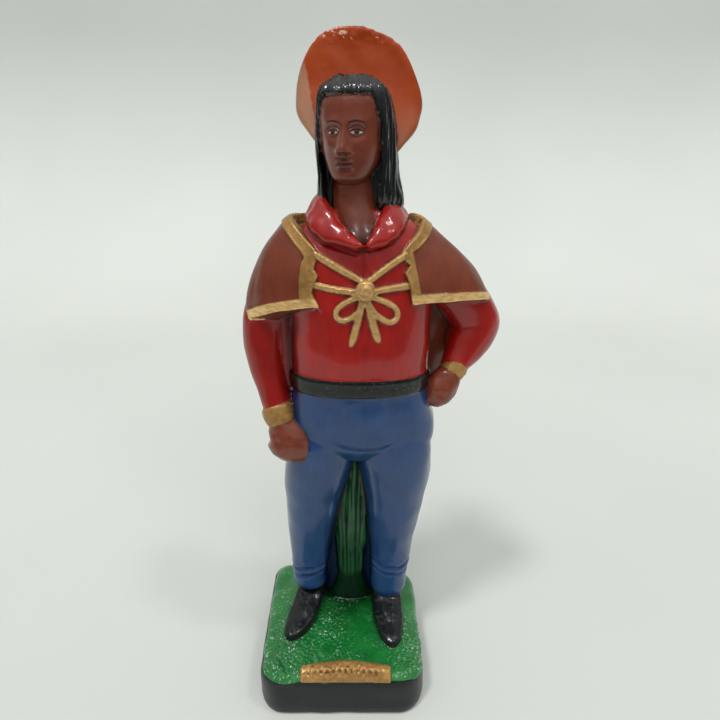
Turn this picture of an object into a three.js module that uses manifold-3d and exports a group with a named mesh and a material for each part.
// A painted plaster statuette, 300 mm tall: a standing man in a wide hat, a short cape tied with
// a bow, a shirt, a belt and trousers, on a rounded square base with a small name plate.
// The whole work is one casting, so every shape below is joined into a single solid.
// Millimetres, +Z up. The origin is the middle of the underside, and the figure faces -Y.

import * as THREE from 'three';
import { LoftGeometry } from 'three/addons/geometries/LoftGeometry.js';
import { mergeVertices } from 'three/addons/utils/BufferGeometryUtils.js';
import Module from 'manifold-3d';

const wasm = await Module();
wasm.setup();

// Driving dimensions

const BASE_WIDTH = 80;
const BASE_DEPTH = 79;
const BASE_HEIGHT = 23.6;
// Corner radii and how far each corner stands out sideways, from the back right one round by the
// left: the base is a little out of square.
const BASE_CORNERS = [
  { radius: 19, out: 0 },
  { radius: 8.5, out: 2 },
  { radius: 11.5, out: 0.4 },
  { radius: 13, out: 0 },
];
const GROUND = BASE_HEIGHT;
// The figure's own middle line is at x = 0 below, and the base's middle is a little to its right.
const BASE_X = 1.1;

const CREASE_HEIGHT = 46;
const BELT_HEIGHT = 161.4;
const BELT_WIDTH = 7.4;
const TORSO_X = 9.8;
const TORSO_Y = 5.8;

const CAPE_TOP = 233;
const HEM_FRONT = 197.2;
const PANEL_HEM = 138;
const TRIM_WIDTH = 4.6;
const TRIM_RISE = 0.6;

const KNOT = new THREE.Vector3(12, -17.2, 205.2);
const KNOT_RADIUS = 3.9;
const TIE_WIDTH = 2.9;
const TIE_RISE = 2.2;

const HEAD = new THREE.Vector3(7.4, 4.6, 262);
const HEAD_TURN = THREE.MathUtils.degToRad(-16);
const FRINGE_HEIGHT = 275.6;

const HAT = new THREE.Vector3(9.5, 8.6, 275.4);
const HAT_RADIUS = 25.8;
const HAT_LEAN = THREE.MathUtils.degToRad(14);
// The reach of the rim every 30 degrees, from the right one round by the top: the brim is uneven.
const RIM_REACH = [0.985, 0.93, 0.99, 1.01, 1.09, 1.035, 0.985, 0.925, 0.89, 0.94, 0.965, 0.955];

const PAINT = {
  skin: '#7b3b2c',
  hair: '#15181a',
  hat: '#c8591d',
  shirt: '#a31b1c',
  cape: '#7a3a2c',
  gold: '#c29a52',
  belt: '#1b1d1e',
  trousers: '#2f4f86',
  shoes: '#17191b',
  grass: '#12752b',
  side: '#2a3233',
};

// Curves and sections

// The value at t, from 0 to 1, of a smooth curve through evenly spaced rows of numbers.
function alongRows(rows, t) {
  const last = rows.length - 1;
  const place = Math.min(Math.max(t, 0), 1) * last;
  const i = Math.min(Math.floor(place), last - 1);
  const f = place - i;
  const before = rows[Math.max(i - 1, 0)];
  const after = rows[Math.min(i + 2, last)];
  return rows[i].map((a, k) => {
    const b = rows[i + 1][k];
    const startSlope = (b - before[k]) / 2;
    const endSlope = (after[k] - a) / 2;
    const square = f * f;
    const cube = square * f;
    return a * (2 * cube - 3 * square + 1) + startSlope * (cube - 2 * square + f)
      + b * (3 * square - 2 * cube) + endSlope * (cube - square);
  });
}

function steps(count) {
  return Array.from({ length: count + 1 }, (_, i) => i / count);
}

// A point on a rounded square outline: a power of 2 is an ellipse, and 4 is nearly a rectangle.
function roundedPoint(angle, halfWidth, halfDepth, power) {
  const c = Math.cos(angle);
  const s = Math.sin(angle);
  return [
    halfWidth * Math.sign(c) * Math.abs(c) ** (2 / power),
    halfDepth * Math.sign(s) * Math.abs(s) ** (2 / power),
  ];
}

function sectionAngles(count) {
  return Array.from({ length: count }, (_, i) => (i + 0.5) / count * Math.PI * 2);
}

// Solids

function toSolid(geometry, paint) {
  const surface = new THREE.BufferGeometry();
  surface.setIndex(geometry.index);
  surface.setAttribute('position', geometry.getAttribute('position'));
  const merged = mergeVertices(surface, 1e-3);
  const place = merged.attributes.position;
  const colour = new THREE.Color(paint);
  const vertProperties = new Float32Array(place.count * 6);
  for (let i = 0; i < place.count; i++) {
    vertProperties.set([place.getX(i), place.getY(i), place.getZ(i)], i * 6);
    vertProperties.set(colour.toArray(), i * 6 + 3);
  }
  const triVerts = new Uint32Array(merged.index.array);
  return new wasm.Manifold(new wasm.Mesh({ numProp: 6, vertProperties, triVerts }));
}

function loft(sections, paint) {
  return toSolid(new LoftGeometry(sections, { capStart: true, capEnd: true }), paint);
}

// Level sections, one above the other. A row is [height, centre x, centre y, half width, half
// depth, power], and ripple(angle, height) scales a section for folds, locks or leaves.
function stack(rows, paint, { levels = 10, around = 24, ripple = () => 1 } = {}) {
  const sections = steps(levels).map((t) => {
    const [z, x, y, halfWidth, halfDepth, power] = alongRows(rows, t);
    return sectionAngles(around).map((angle) => {
      const [dx, dy] = roundedPoint(angle, halfWidth, halfDepth, power);
      const scale = ripple(angle, z);
      return new THREE.Vector3(x + dx * scale, y + dy * scale, z);
    });
  });
  return loft(sections, paint);
}

// Sections square to a bent path. A row is [x, y, z, half width across, half depth].
function limb(rows, paint, { levels = 8, around = 16, power = 2.2 } = {}) {
  const forward = new THREE.Vector3(0, 1, 0);
  const nudge = 0.01;
  const sections = steps(levels).map((t) => {
    const [x, y, z, halfWidth, halfDepth] = alongRows(rows, t);
    const ahead = new THREE.Vector3(...alongRows(rows, Math.min(t + nudge, 1)));
    const behind = new THREE.Vector3(...alongRows(rows, Math.max(t - nudge, 0)));
    const tangent = ahead.sub(behind).normalize();
    const depth = forward.clone().addScaledVector(tangent, -forward.dot(tangent)).normalize();
    const side = depth.clone().cross(tangent);
    return sectionAngles(around).map((angle) => {
      const [dx, dy] = roundedPoint(angle, halfWidth, halfDepth, power);
      return new THREE.Vector3(x, y, z).addScaledVector(side, dx).addScaledVector(depth, dy);
    });
  });
  return loft(sections, paint);
}

// A padded strip between two edges, each a smooth curve through its own points.
function strip(edgeA, edgeB, thickness, paint, { levels = 10, around = 12 } = {}) {
  const middle = (t) => pointOn(edgeA, t).add(pointOn(edgeB, t)).multiplyScalar(0.5);
  const nudge = 0.01;
  const sections = steps(levels).map((t) => {
    const half = pointOn(edgeB, t).sub(pointOn(edgeA, t)).multiplyScalar(0.5);
    const tangent = middle(Math.min(t + nudge, 1)).sub(middle(Math.max(t - nudge, 0)));
    const outward = tangent.normalize().cross(half).normalize();
    return sectionAngles(around).map((angle) => {
      const [along, up] = roundedPoint(angle, 1, thickness / 2, 2.4);
      return middle(t).addScaledVector(half, along).addScaledVector(outward, up);
    });
  });
  return loft(sections, paint);
}

function pointOn(points, t) {
  return new THREE.Vector3(...alongRows(points, t));
}

// A prism through the figure from front to back, from an outline of [x, z] points seen from
// the front, running clockwise, between the depths near and far.
function prism(outline, near, far, paint) {
  const sections = [near, far].map((y) => outline.map(([x, z]) => new THREE.Vector3(x, y, z)));
  return loft(sections, paint);
}

function ellipsoid(centre, radii, paint, { turn = 0, around = 12, levels = 8 } = {}) {
  const sections = steps(levels).map((t) => {
    const rise = (t - 0.5) * Math.PI * 0.97;
    return sectionAngles(around).map((angle) => {
      const local = new THREE.Vector3(
        radii[0] * Math.cos(rise) * Math.cos(angle),
        radii[1] * Math.cos(rise) * Math.sin(angle),
        radii[2] * Math.sin(rise),
      );
      return local.applyAxisAngle(new THREE.Vector3(0, 0, 1), turn).add(centre);
    });
  });
  return loft(sections, paint);
}

function join(...solids) {
  return solids.reduce((whole, piece) => whole.add(piece));
}

// Base: upright sides with soft edges, and a plate leaning on the front of the top edge.

function base() {
  const side = [
    [0, 2],
    [1.4, 0.6],
    [5, 0],
    [18.5, 0.2],
    [20.6, 0.6],
  ];
  const turf = [
    [20, 0.4],
    [22.2, 1.4],
    [GROUND, 4],
  ];
  return join(block(side, PAINT.side), block(turf, PAINT.grass));
}

// Level rounded squares. A row is [height, inset].
function block(rows, paint) {
  const cornerSteps = 3;
  const sections = rows.map(([z, inset]) => BASE_CORNERS.flatMap((corner, i) => {
    const towardsX = i === 0 || i === 3 ? 1 : -1;
    const towardsY = i < 2 ? 1 : -1;
    return steps(cornerSteps).map((t) => {
      const angle = (i + t) * Math.PI / 2;
      const radius = corner.radius - inset;
      const centreX = BASE_X + towardsX * (BASE_WIDTH / 2 + corner.out - corner.radius);
      const centreY = towardsY * (BASE_DEPTH / 2 - corner.radius);
      return new THREE.Vector3(
        centreX + radius * Math.cos(angle),
        centreY + radius * Math.sin(angle),
        z,
      );
    });
  }));
  return loft(sections, paint);
}

function plate() {
  const middle = 2.9;
  const halfLength = 21.2;
  const arch = 2.4;
  const front = -BASE_DEPTH / 2;
  const across = [-1, -0.5, 0, 0.5, 1];
  const low = across.map((t) => [middle + t * halfLength, front + 0.6, GROUND - 2]);
  const high = across.map((t) => {
    const rise = arch * (1 - t * t);
    return [middle + t * halfLength, front + 6 + rise, GROUND + 1.6 + rise * 0.3];
  });
  return strip(low, high, 3.4, PAINT.gold, { levels: 6, around: 12 });
}

// Legs, shoes and the clump of tall leaves between them.

function leg(rows) {
  return stack(rows, PAINT.trousers, { levels: 10, around: 16 });
}

const LEFT_LEG = [
  [36.2, -17.2, 12.8, 7.8, 8.6, 2.2],
  [39, -17.4, 12.4, 9.1, 10, 2.2],
  [CREASE_HEIGHT - 1.5, -17.4, 12.6, 9.3, 9.8, 2.2],
  [CREASE_HEIGHT + 2.5, -17, 12.6, 9.7, 10, 2.2],
  [60, -16.2, 12.4, 10.9, 11, 2.2],
  [77, -15, 11.8, 12.9, 13, 2.2],
  [95, -13.2, 10.8, 14.5, 15, 2.3],
  [112, -10.4, 9.6, 16.4, 17, 2.4],
  [130, -7, 8.2, 15.4, 17, 2.4],
];

const RIGHT_LEG = [
  [31.6, 24.6, 11.6, 7.6, 8.4, 2.2],
  [36.6, 25, 11, 9.7, 10.2, 2.2],
  [CREASE_HEIGHT - 3, 25, 11.4, 9.9, 10, 2.2],
  [CREASE_HEIGHT + 1.5, 25.3, 11.6, 10.1, 10.2, 2.2],
  [60, 25.8, 11.6, 11, 11.2, 2.2],
  [77, 26.6, 11.2, 13, 13.2, 2.2],
  [95, 27.2, 10.4, 14.9, 15.2, 2.3],
  [112, 27, 9.4, 17.4, 17.2, 2.4],
  [130, 25.4, 8.2, 17, 17, 2.4],
];

const HIPS = [
  [122, 9, 9, 28, 14.4, 2.6],
  [129, 9.9, 7.6, 34, 17.9, 2.6],
  [138, 10.4, 7, 34.4, 19.2, 2.6],
  [149, 10, 6.4, 32, 19.4, 2.6],
  [BELT_HEIGHT, 9.6, 6, 30, 19, 2.5],
];

// Rows run from the heel to the toe: [x, y, half width, height above the ground].
function shoe(rows) {
  const sections = steps(8).map((t) => {
    const [x, y, halfWidth, height] = alongRows(rows, t);
    const [aheadX, aheadY] = alongRows(rows, Math.min(t + 0.02, 1));
    const [behindX, behindY] = alongRows(rows, Math.max(t - 0.02, 0));
    const heading = new THREE.Vector3(aheadX - behindX, aheadY - behindY, 0).normalize();
    const side = new THREE.Vector3(0, 0, 1).cross(heading);
    const foot = GROUND - 1;
    const half = (height + 1) / 2;
    return sectionAngles(12).map((angle) => {
      const [dx, dz] = roundedPoint(angle, halfWidth, half, 2.6);
      return new THREE.Vector3(x, y, foot + half + dz).addScaledVector(side, -dx);
    });
  });
  return loft(sections.map((section) => section.reverse()), PAINT.shoes);
}

const LEFT_SHOE = [
  [-16, 25.5, 4, 8],
  [-16.4, 21, 7, 11],
  [-17.2, 10, 7.4, 11.5],
  [-19.2, 1, 7.5, 8.4],
  [-22, -7, 7, 6.2],
  [-24.7, -13.6, 4.9, 5],
  [-26.3, -17.4, 1.4, 3.6],
];

const RIGHT_SHOE = [
  [25, 24, 4, 8],
  [24.7, 19.5, 7, 11],
  [24.2, 8, 8.2, 11.5],
  [24.6, -2, 8, 8.2],
  [25.4, -11, 6.9, 6],
  [26, -18, 4.4, 4.8],
  [26.4, -21.6, 1.3, 3.4],
];

const LEAF_COUNT = 8;
const LEAF_RELIEF = 0.07;

function clump() {
  const leaves = (angle) => 1 + LEAF_RELIEF * Math.cos(angle * LEAF_COUNT);
  const rows = [
    [GROUND - 1, 4.4, 20, 14.5, 9.5, 2.2],
    [42, 4.6, 19.6, 8.4, 9.6, 2.2],
    [65, 5, 19.2, 9.4, 9.4, 2.2],
    [86, 5.8, 18.6, 10.2, 8.6, 2.2],
    [104, 6.6, 17.6, 8.4, 7.6, 2.2],
    [124, 7.2, 15.6, 4.2, 5, 2.2],
  ];
  return stack(rows, PAINT.grass, { levels: 4, around: 28, ripple: leaves });
}

// The casting is filled in behind the ankles, on both sides of the leaves, and between the
// hanging arm and the side.
const ANKLE_WEB = [
  [GROUND + 4, 4, 21, 17, 7, 3],
  [50, 4.4, 20.4, 16.4, 7.4, 3],
  [84, 5.7, 18.4, 7.6, 5, 2.2],
];

const ARM_WEB = [
  [156, -21.4, 8, 5, 6.4, 2.2],
  [180, -21.6, 7, 5.6, 8, 2.2],
  [204, -18, 6.4, 8, 9, 2.2],
];

// Shirt and belt.

const TORSO = [
  [BELT_HEIGHT - 5, TORSO_X, TORSO_Y, 29.6, 18.6, 2.5],
  [165, TORSO_X, TORSO_Y, 30.2, 19.8, 2.5],
  [178, TORSO_X + 0.1, TORSO_Y - 0.3, 30.6, 20.6, 2.4],
  [191, TORSO_X + 0.2, TORSO_Y, 30.6, 20, 2.4],
  [204, TORSO_X + 0.2, TORSO_Y + 0.8, 31.4, 19.2, 2.4],
  [216, TORSO_X + 0.2, TORSO_Y + 1.8, 31, 18, 2.4],
  [225, TORSO_X, TORSO_Y + 2.4, 26.4, 15.4, 2.2],
  [234, TORSO_X - 0.6, TORSO_Y + 2.4, 14.6, 10.5, 2],
];

function belt() {
  const top = BELT_HEIGHT + BELT_WIDTH / 2;
  const low = BELT_HEIGHT - BELT_WIDTH / 2;
  const rows = [
    [low - 0.4, 9.7, 6, 30, 19, 2.5],
    [low + 0.3, 9.7, 6, 31, 20, 2.5],
    [BELT_HEIGHT, 9.7, 6, 31.3, 20.4, 2.5],
    [top - 0.3, 9.7, 5.9, 31.2, 20.3, 2.5],
    [top + 0.4, 9.7, 5.9, 30.2, 19.4, 2.5],
  ];
  return stack(rows, PAINT.belt, { levels: 3, around: 24 });
}

// Arms. The left one hangs with a closed hand, and the right one rests its hand on the hip.

const LEFT_SLEEVE = [
  [-14, 9, 219, 9, 9],
  [-24, 9.6, 206, 11, 11],
  [-30.6, 9, 191, 10.2, 11],
  [-32.7, 7.6, 178, 9.7, 10.2],
  [-31.9, 5.6, 166, 8.4, 9],
  [-29.6, 3.2, 154, 7.2, 7.8],
  [-27, 1.2, 144, 6.6, 7],
];

const RIGHT_SLEEVE = [
  [32, 8.6, 219, 9, 9],
  [44, 10.6, 207, 10.6, 11],
  [55.2, 13.2, 195, 11.2, 11.2],
  [62.2, 14, 183.4, 10.9, 10.4],
  [57.6, 10.6, 173.6, 9.2, 9],
  [53.2, 6, 166.4, 6.6, 7],
  [51.2, 3.8, 163, 5, 5.6],
];

function cuffs() {
  const left = [
    [-28, 1.6, 147.6, 7.2, 7.6],
    [-27.3, 1, 145.6, 7.9, 8.2],
    [-25.8, 0.2, 141.6, 7.7, 8],
    [-25.1, -0.2, 139.6, 6.9, 7.2],
  ];
  const right = [
    [54, 5.4, 166.4, 5, 5.8],
    [53.2, 4.9, 165.4, 5.8, 6.4],
    [51, 3.6, 162.8, 5.6, 6.2],
    [50.2, 3, 161.8, 4.9, 5.6],
  ];
  const options = { levels: 3, around: 12 };
  return join(limb(left, PAINT.gold, options), limb(right, PAINT.gold, options));
}

function fists() {
  const left = [
    [-26, 0, 143, 5.6, 6.2],
    [-24.2, -1.4, 138, 8.4, 7.6],
    [-22, -2.8, 133, 10.9, 8.6],
    [-21.2, -3, 127.8, 10.5, 8.4],
    [-21.4, -2.4, 124, 7.6, 6],
  ];
  const right = [
    [51.4, 3.6, 164, 4.4, 5],
    [49.2, 2.4, 160.6, 6.2, 6.2],
    [46.2, 1.6, 155.8, 7.2, 6.8],
    [44.2, 1.4, 151, 6, 6],
    [43.6, 1.6, 148, 3, 3.6],
  ];
  const options = { levels: 6, around: 12 };
  return join(limb(left, PAINT.skin, options), limb(right, PAINT.skin, options));
}

// Cape: a bell over the shoulders with an open front, and a longer back panel.

const BELL = [
  [186, 13.2, 7, 52.6, 20.6, 2.3],
  [197, 13.1, 7, 52.2, 20.6, 2.3],
  [208, 12, 7.4, 47.6, 19.6, 2.3],
  [218, 10, 8, 40.5, 17.6, 2.2],
  [227, 7.8, 8.4, 31.8, 14.8, 2.2],
  [231, 7.6, 8.6, 26.8, 12.6, 2.2],
  [CAPE_TOP, 7.8, 8.8, 18, 9.6, 2.2],
];

// The hem hangs lowest over the hanging arm and behind, and rises a little before the raised elbow.
function hemHeight(angle) {
  const overLeftArm = Math.max(0, -Math.cos(angle)) ** 3;
  const overElbow = Math.max(0, Math.cos(angle));
  const beforeElbow = 3.4 * overElbow * Math.abs(Math.sin(angle));
  const behind = Math.max(0, Math.sin(angle));
  return HEM_FRONT - 10.4 * overLeftArm + beforeElbow - 1.4 * overElbow ** 4 - 5 * behind;
}

// A ring of the bell: lift is how far it stands out, and scale draws it in towards the middle.
function bellRing(around, heightAt, lift, scale = 1) {
  return sectionAngles(around).map((angle) => {
    const z = heightAt(angle);
    const [, x, y, halfWidth, halfDepth, power] = alongRows(BELL, bellPlace(z));
    const [dx, dy] = roundedPoint(angle, halfWidth + lift, halfDepth + lift, power);
    return new THREE.Vector3(x + dx * scale, y + dy * scale, z);
  });
}

// The bell, with the trim round its hem as a raised step.
function clothBell() {
  const around = 34;
  const levels = 4;
  const trimTop = (angle) => hemHeight(angle) + TRIM_WIDTH;
  const stepTop = (angle) => trimTop(angle) + TRIM_RISE;
  const rings = [
    bellRing(around, (angle) => hemHeight(angle) - 0.6, 0, 0.3),
    bellRing(around, hemHeight, TRIM_RISE),
    bellRing(around, trimTop, TRIM_RISE),
  ];
  for (const t of steps(levels)) {
    const heightAt = (angle) => THREE.MathUtils.lerp(stepTop(angle), CAPE_TOP, t);
    rings.push(bellRing(around, heightAt, 0));
  }
  return loft(rings, PAINT.cape);
}

// The same bell drawn a little larger, which the trim along the open front is cut from.
function trimBell() {
  const levels = 4;
  const top = CAPE_TOP - 0.5;
  const rings = steps(levels).map((t) => bellRing(24, (angle) => (
    THREE.MathUtils.lerp(hemHeight(angle) + 1, top, t)), TRIM_RISE));
  return loft(rings, PAINT.gold);
}

// Where a height lies along the rows of the bell, found by halving.
function bellPlace(z) {
  let low = 0;
  let high = 1;
  for (let i = 0; i < 24; i++) {
    const middle = (low + high) / 2;
    if (alongRows(BELL, middle)[0] < z) low = middle;
    else high = middle;
  }
  return (low + high) / 2;
}

// The open front, seen from the front as [x, z] from the hem up to the shoulder: the cut edges of
// the cloth, which the ties pull into small notches, and the inner sides of the trim beside them.
const LEFT_EDGE = [[-7.3, 160], [-7.3, 197.5], [-9.8, 203.2], [-7.3, 209.6], [-8.9, 212.2],
  [-7.3, 218.7], [-14.1, 225.9], [-18.4, 230], [-26, 243]];
const LEFT_TRIM = [[-14.7, 160], [-14.7, 201.5], [-12.4, 216.5], [-16.9, 221.9], [-21, 226.4],
  [-30, 240]];
const RIGHT_EDGE = [[31.8, 160], [31.8, 196.3], [27.8, 210.9], [29.8, 213.5], [26.5, 218.3],
  [33.3, 225.5], [36, 229.4], [44, 243]];
const RIGHT_TRIM = [[35.6, 160], [34.7, 201.2], [31, 218.6], [36.6, 223.2], [39.6, 227.1],
  [47, 240]];
const OPENING_BACK = 9;

// The hole for the neck, behind the opening, under the collar.
const NECK_HOLE = [
  [227, 8.2, 9.4, 25.2, 13.2, 2.2],
  [240, 8.2, 9.4, 25.2, 13.2, 2.2],
];

function cape() {
  const between = (left, right) => [...left, ...right.toReversed()];
  const frame = prism(between(LEFT_TRIM, RIGHT_TRIM), -40, OPENING_BACK, PAINT.gold);
  const front = prism(between(LEFT_EDGE, RIGHT_EDGE), -60, OPENING_BACK, PAINT.cape);
  const neck = stack(NECK_HOLE, PAINT.cape, { levels: 1, around: 16 });
  return join(clothBell(), trimBell().intersect(frame)).subtract(front).subtract(neck);
}

function backPanel() {
  const folds = (angle) => 1 + 0.03 * Math.cos(angle * 8) * Math.max(0, Math.sin(angle));
  const cloth = [
    [PANEL_HEM, 10, 22.6, 33.4, 6, 3],
    [152, 10.6, 22.4, 37.4, 6.2, 3],
    [170, 12, 22.2, 43.4, 6.4, 3],
    [182, 12.4, 21.8, 46.4, 6.6, 3],
    [198, 12.6, 20.6, 48, 6.6, 3],
  ];
  const trim = [
    [PANEL_HEM - 0.2, 10, 22.6, 34, 6.6, 3],
    [PANEL_HEM + TRIM_WIDTH, 10.2, 22.6, 35.4, 6.7, 3],
  ];
  return join(
    stack(cloth, PAINT.cape, { levels: 3, around: 28, ripple: folds }),
    stack(trim, PAINT.gold, { levels: 1, around: 28, ripple: folds }),
  );
}

// Collar: two rolled wings from behind the neck down to the V.

function collar() {
  const leftInner = [[8, 17, 240], [-3.4, 12, 240.4], [-4.2, 2, 238.4], [1.6, -6.6, 231], [11.4, -13, 221.6]];
  const leftOuter = [[8, 21, 229], [-10, 13, 230], [-11, 0.4, 227.8], [-4.4, -10.6, 223.8], [9, -13.4, 220.4]];
  const rightInner = [[8, 17, 240], [20, 12, 238.6], [20.6, 2, 236.2], [16, -7.2, 230], [11.6, -13, 221.6]];
  const rightOuter = [[8, 21, 229], [27.4, 13, 229], [28.2, 1, 228.2], [24, -9.4, 224], [14, -13.4, 220.4]];
  return join(
    strip(leftInner, leftOuter, 5.4, PAINT.shirt, { levels: 8, around: 10 }),
    strip(rightOuter, rightInner, 5.4, PAINT.shirt, { levels: 8, around: 10 }),
  );
}

const NECK = [
  [216, 11, 3, 8.4, 10.4, 2],
  [223.4, 10.8, 3.4, 10.4, 14, 2],
  [231, 9, 5, 9.8, 11.2, 2],
  [239, 7.6, 6.4, 8.4, 9.2, 2],
  [254, 7.4, 6.6, 8, 8.8, 2],
];

// Ties: flat cords from the cape's edges to a round knot, two loops and two tails. Places are
// [x, z], and each cord lies just proud of the shirt.

function chestFront(x, z) {
  const heights = TORSO.map(([height]) => height);
  let place = 0;
  while (place < heights.length - 2 && heights[place + 1] < z) place++;
  const f = (z - heights[place]) / (heights[place + 1] - heights[place]);
  const [, centreX, centreY, halfWidth, halfDepth, power] = alongRows(
    TORSO,
    (place + f) / (heights.length - 1),
  );
  const across = Math.min(Math.abs(x - centreX) / halfWidth, 0.98);
  return centreY - halfDepth * (1 - across ** power) ** (1 / power);
}

function cord(points, lift, { levels = 3, width = TIE_WIDTH } = {}) {
  const rows = points.map(([x, z], i) => {
    const proud = lift[Math.min(i, lift.length - 1)];
    return [x, chestFront(x, z) - proud, z, width / 2, TIE_RISE / 2];
  });
  return limb(rows, PAINT.gold, { levels, around: 6, power: 3 });
}

function bow() {
  const { x, z } = KNOT;
  const ties = [
    [[-8.4, 218], [0, 213.6], [x - 1, z + 2.6]],
    [[28.6, 217.8], [21, 213.4], [x + 1, z + 2.6]],
    [[-9.2, 206.4], [1, 204.4], [x - 2, z - 1.4]],
    [[30.4, 205.8], [21, 204.8], [x + 2, z - 1.4]],
  ].map((points) => cord(points, [1, 0.6, 1.6]));
  const tails = [
    [[x - 1, z - 3], [9.4, 193], [6.8, 182.4]],
    [[x + 0.6, z - 3], [13.8, 193.4], [15.8, 184.4]],
  ].map((points) => cord(points, [1.4, 0.6, 0.6]));
  const loops = [
    [[x - 1, z - 3], [5.6, 200.2], [2, 197], [1.9, 193], [5.2, 192], [9.4, 195.6], [x - 1, z - 5]],
    [[x + 1, z - 3], [17, 200.6], [22.6, 197.6], [24, 193.8], [21, 191.6], [15.8, 195.2], [x + 1, z - 5]],
  ].map((points) => cord(points, [1.6, 0.9, 0.9, 0.9, 0.9, 0.9, 1.6], { levels: 10, width: 2 }));
  const radii = [KNOT_RADIUS, 3.4, KNOT_RADIUS + 0.4];
  const knot = ellipsoid(KNOT, radii, PAINT.gold, { around: 8, levels: 4 });
  return join(...ties, ...tails, ...loops, knot);
}

// Head, in its own frame before the turn: the face looks along -Y and the eyes are half way up.

const SKULL = [
  [-18, 0, -6.4, 3.4, 2.8, 2],
  [-16, 0, -5.2, 6.8, 6.1, 2],
  [-11.5, 0, -2.8, 9.8, 9.3, 2],
  [-6, 0, -1.2, 11.7, 11.6, 2.1],
  [0, 0, -0.3, 12.5, 12.6, 2.1],
  [7, 0, 0.2, 12.7, 12.9, 2.1],
  [13, 0, 0.6, 11.6, 11.9, 2.1],
  [19, 0, 1.4, 5, 6, 2],
];

function head() {
  const around = 24;
  const levels = 14;
  const axis = new THREE.Vector3(0, 0, 1);
  const bump = (value, centre, spread) => Math.exp(-(((value - centre) / spread) ** 2));
  const relief = (x, z) => {
    const ridge = bump(x, 0, 1.7) * (0.4 * bump(z, 2, 3.4) + 3 * bump(z, -4.4, 3.2));
    const nostrils = 0.9 * bump(Math.abs(x), 2, 1.3) * bump(z, -5.6, 1.4);
    const brow = 0.7 * bump(Math.abs(x), 4.6, 3.4) * bump(z, 4, 1.5);
    const socket = -1.3 * bump(Math.abs(x), 4.7, 2.5) * bump(z, 0.6, 1.9);
    const lips = 1 * bump(x, 0, 3.4) * bump(z, -10, 1.7);
    const chin = 0.8 * bump(x, 0, 3.4) * bump(z, -15.4, 2.2);
    return ridge + nostrils + brow + socket + lips + chin;
  };
  const sections = steps(levels).map((t) => {
    const [z, x, y, halfWidth, halfDepth, power] = alongRows(SKULL, t);
    return sectionAngles(around).map((angle) => {
      // More of the points are spent on the face than on the back of the head.
      const turned = angle + 0.45 * Math.cos(angle);
      const [dx, dy] = roundedPoint(turned, halfWidth, halfDepth, power);
      const forward = dy < 0 ? relief(x + dx, z) : 0;
      return new THREE.Vector3(x + dx, y + dy - forward, z)
        .applyAxisAngle(axis, HEAD_TURN).add(HEAD);
    });
  });
  return loft(sections, PAINT.skin);
}

// Hair: straight locks down to the collar, with a fringe, cut open for the face.

const LOCK_COUNT = 16;
const LOCK_RELIEF = 0.022;

function hair() {
  const locks = (angle) => 1 + LOCK_RELIEF * Math.cos(angle * LOCK_COUNT);
  const rows = [
    [234, 11.4, 8.4, 16.2, 9.4, 2.4],
    [238.6, 9.9, 8, 17.3, 11.4, 2.4],
    [246, 9.2, 7.4, 16.3, 12.4, 2.3],
    [256, 8.5, 7, 15.9, 13.4, 2.3],
    [265, 8.2, 6.6, 15.5, 14.2, 2.2],
    [272, 8, 6.2, 14.4, 14, 2.2],
    [278, 7.6, 6, 12.6, 12.2, 2.2],
    [282.2, 7, 6.4, 7, 7.6, 2],
  ];
  const mass = stack(rows, PAINT.hair, { levels: 6, around: 48, ripple: locks });
  return mass.subtract(faceOpening());
}

function faceOpening() {
  const right = [[10.6, -34], [11, -22], [12.5, -10], [12.5, 4], [9.6, FRINGE_HEIGHT - HEAD.z]];
  const left = right.map(([x, z]) => [-x + 0.3, z]).reverse();
  const outline = [...left, ...right].reverse();
  const axis = new THREE.Vector3(0, 0, 1);
  const sections = [-40, -1].map((y) => outline.map(([x, z]) => (
    new THREE.Vector3(x, y, z).applyAxisAngle(axis, HEAD_TURN).add(HEAD))));
  return loft(sections, PAINT.hair);
}

// Hat, pushed far back so that the dished underside of its brim shows. Rings run from the middle
// of the underside out to the edge, back along the upper side and over the crown: [radius, depth
// behind the brim's plane].

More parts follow.
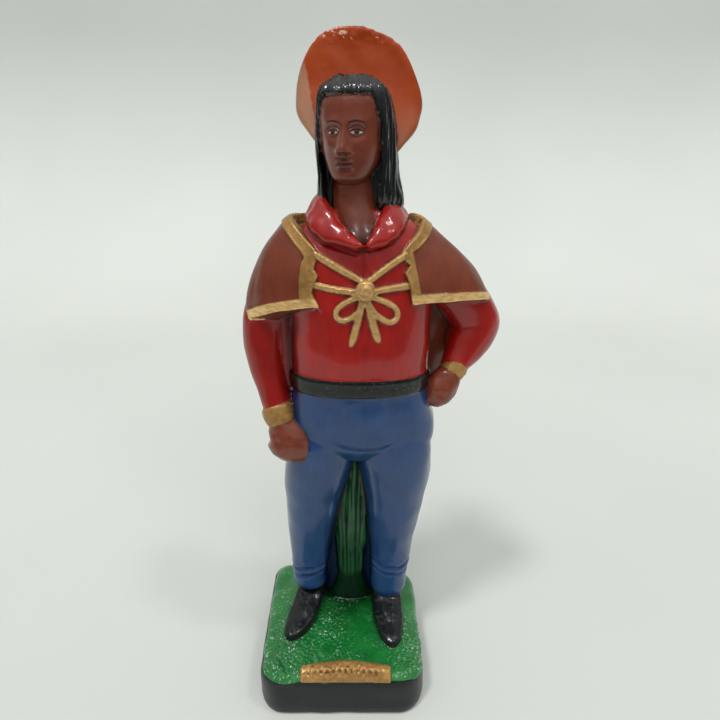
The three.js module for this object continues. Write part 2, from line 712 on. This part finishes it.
function hat() {
  const thickness = 3;
  const dish = 3;
  const rings = [
    [10, dish - 0.8],
    [19, 1.6],
    [23.2, 0.2],
    [HAT_RADIUS - 0.4, 0.3],
    [HAT_RADIUS, 1.4],
    [HAT_RADIUS - 0.6, 2.6],
    [17, thickness + 2.4],
    [14.6, thickness + 4.4],
    [14, thickness + 10],
    [12.6, thickness + 16],
    [7, thickness + 18.6],
  ];
  const rollBack = 7;
  const sections = rings.map(([radius, depth]) => sectionAngles(24).map((angle) => {
    const reach = radius * (1 + (rimReach(angle) - 1) * (radius / HAT_RADIUS) ** 2);
    const x = reach * Math.cos(angle);
    const up = reach * Math.sin(angle);
    const back = depth + rollBack * (Math.abs(x) / HAT_RADIUS) ** 4;
    return new THREE.Vector3(
      HAT.x + x,
      HAT.y + up * Math.sin(HAT_LEAN) + back * Math.cos(HAT_LEAN),
      HAT.z + up * Math.cos(HAT_LEAN) - back * Math.sin(HAT_LEAN),
    );
  }));
  return loft(sections.map((section) => section.reverse()), PAINT.hat);
}

function rimReach(angle) {
  const closed = [...RIM_REACH, RIM_REACH[0]].map((reach) => [reach]);
  return alongRows(closed, angle / (Math.PI * 2))[0];
}

// The casting

const figure = join(
  base(),
  plate(),
  shoe(LEFT_SHOE),
  shoe(RIGHT_SHOE),
  clump(),
  stack(ANKLE_WEB, PAINT.trousers, { levels: 2, around: 16 }),
  leg(LEFT_LEG),
  leg(RIGHT_LEG),
  stack(HIPS, PAINT.trousers, { levels: 4, around: 26 }),
  stack(TORSO, PAINT.shirt, { levels: 7, around: 26 }),
  stack(ARM_WEB, PAINT.shirt, { levels: 2, around: 10 }),
  belt(),
  backPanel(),
  limb(LEFT_SLEEVE, PAINT.shirt, { levels: 7, around: 12 }),
  limb(RIGHT_SLEEVE, PAINT.shirt, { levels: 8, around: 12 }),
  cuffs(),
  fists(),
  cape(),
  stack(NECK, PAINT.skin, { levels: 3, around: 12 }),
  collar(),
  bow(),
  hat(),
  hair(),
  head(),
);

function toGeometry(solid) {
  const { vertProperties, triVerts, numProp } = solid.getMesh();
  const interleaved = new THREE.InterleavedBuffer(vertProperties, numProp);
  const geometry = new THREE.BufferGeometry();
  geometry.setAttribute('position', new THREE.InterleavedBufferAttribute(interleaved, 3, 0));
  geometry.setAttribute('color', new THREE.InterleavedBufferAttribute(interleaved, 3, 3));
  geometry.setIndex(new THREE.BufferAttribute(triVerts, 1));
  return geometry;
}

const enamel = new THREE.MeshStandardMaterial({
  vertexColors: true,
  roughness: 0.3,
  metalness: 0,
});

const statuette = new THREE.Mesh(toGeometry(figure), enamel);
statuette.name = 'plaster_statuette';
statuette.position.x = -BASE_X;

const group = new THREE.Group();
group.add(statuette);

export default group;
